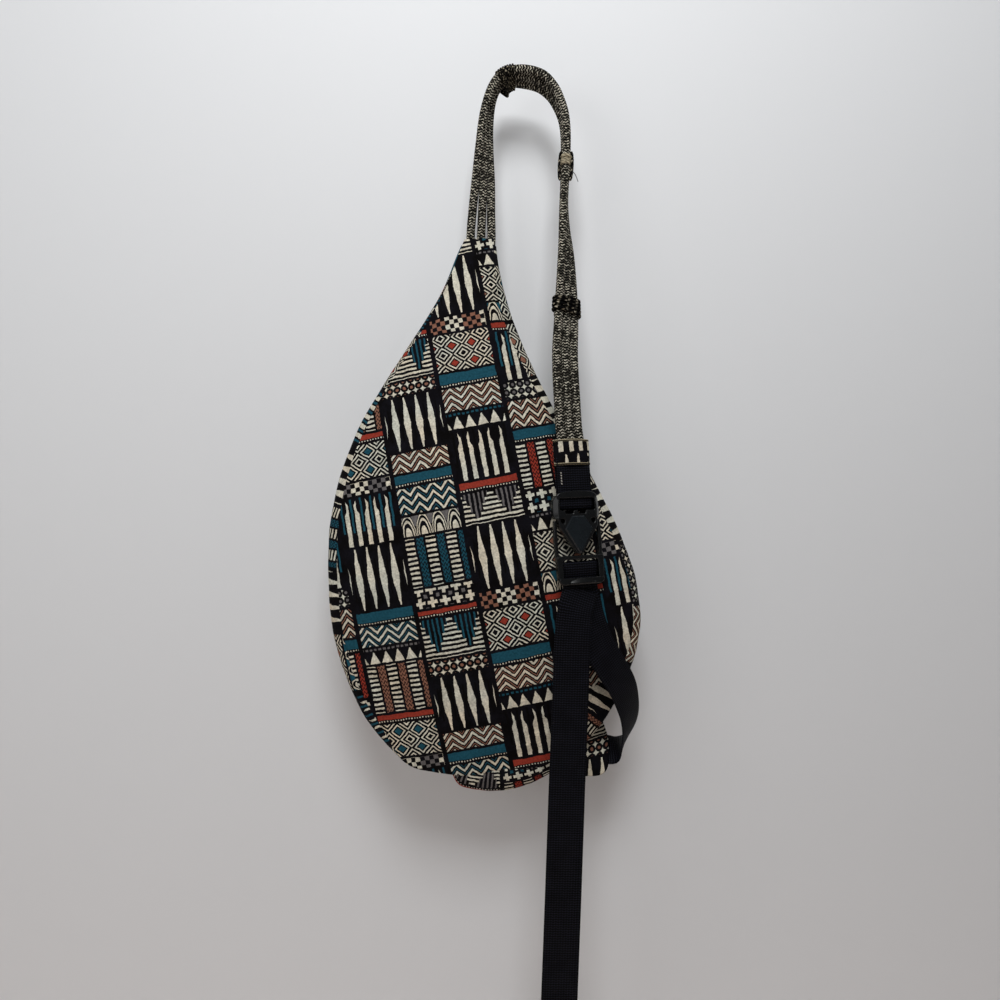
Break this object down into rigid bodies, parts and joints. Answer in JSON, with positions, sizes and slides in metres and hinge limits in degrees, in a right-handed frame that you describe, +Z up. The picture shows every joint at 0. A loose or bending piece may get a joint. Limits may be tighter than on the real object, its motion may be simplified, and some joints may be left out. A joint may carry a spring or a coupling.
{
  "type": "rope sling backpack",
  "caption": "Teardrop canvas sling backpack hung by its braided rope strap, with a buckled webbing tail, a boxed gusset and a zip down its front panel.",
  "frame": {"origin": "the point under the rope bundle where a hook bears and the bag hangs", "axes": "+Z up along the hanging bag, +Y from the plain back panel towards the zipped front panel, +X to the right as seen from the back panel"},
  "size_m": [0.2919, 0.1114, 0.8917],
  "materials": {
    "printed_canvas": "matte",
    "rope": "matte",
    "binding": "matte",
    "webbing": "matte",
    "buckle_plastic": "satin",
    "zip_tape": "matte",
    "zip_metal": "satin"
  },
  "bodies": {
    "bag": {"back_panel": "printed_canvas", "gusset": "printed_canvas", "front_panel": "printed_canvas", "rope_strand_left": "rope", "rope_strand_middle": "rope", "rope_strand_right": "rope", "hook_binding": "binding", "upper_binding": "binding", "lower_binding": "binding", "rope_end_tab": "printed_canvas", "socket_webbing": "webbing", "buckle_socket": "buckle_plastic", "strap_run": "webbing", "corner_wing": "printed_canvas", "zip_tape_left": "zip_tape", "zip_tape_right": "zip_tape", "zip_teeth": "zip_metal", "zip_top_stop": "zip_metal", "zip_bottom_stop": "zip_metal"},
    "plug": {"buckle_plug": "buckle_plastic", "strap_tail": "webbing"},
    "slider": {"zip_slider": "zip_metal"},
    "pull": {"zip_pull": "zip_metal"}
  },
  "joints": [
    {"name": "buckle_release", "type": "slide", "parent": "bag", "child": "plug", "axis": [0.0621, -0.0788, -0.995], "range_m": [0, 0.04], "deforming": ["strap_run"]},
    {"name": "zip_slide", "type": "slide", "parent": "bag", "child": "slider", "axis": [0, 0.0598, -0.9982], "range_m": [0, 0.278]},
    {"name": "pull_swing", "type": "hinge", "parent": "slider", "child": "pull", "pos_m": [-0.0195, 0.01884, -0.27369], "axis": [1, 0, 0], "range_deg": [0, 160]}
  ]
}
